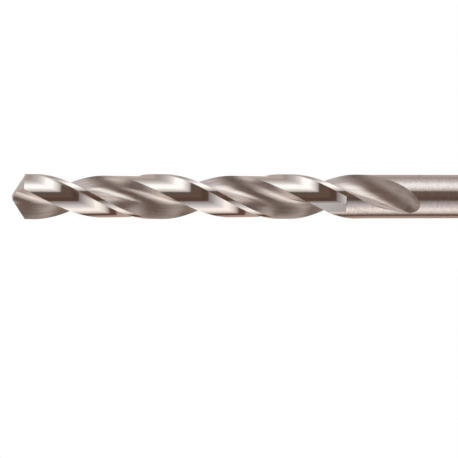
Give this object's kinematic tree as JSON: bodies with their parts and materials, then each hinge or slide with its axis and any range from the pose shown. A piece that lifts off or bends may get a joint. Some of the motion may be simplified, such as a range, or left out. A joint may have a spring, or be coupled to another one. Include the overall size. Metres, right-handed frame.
{
  "type": "twist drill bit",
  "caption": "Twist drill bit with two helical flutes, a cone-ground point and a plain parallel shank, for drilling round holes in metal.",
  "frame": {"origin": "middle of the shank's flat end face", "axes": "+Z along the drill's axis to the point, with the two cutting lips along X"},
  "size_m": [0.009, 0.009, 0.125],
  "materials": {
    "ground_steel": "bright ground tool steel: polished lands and flutes, satin shank"
  },
  "bodies": {
    "root": {"drill_bit": "ground_steel"}
  },
  "joints": []
}
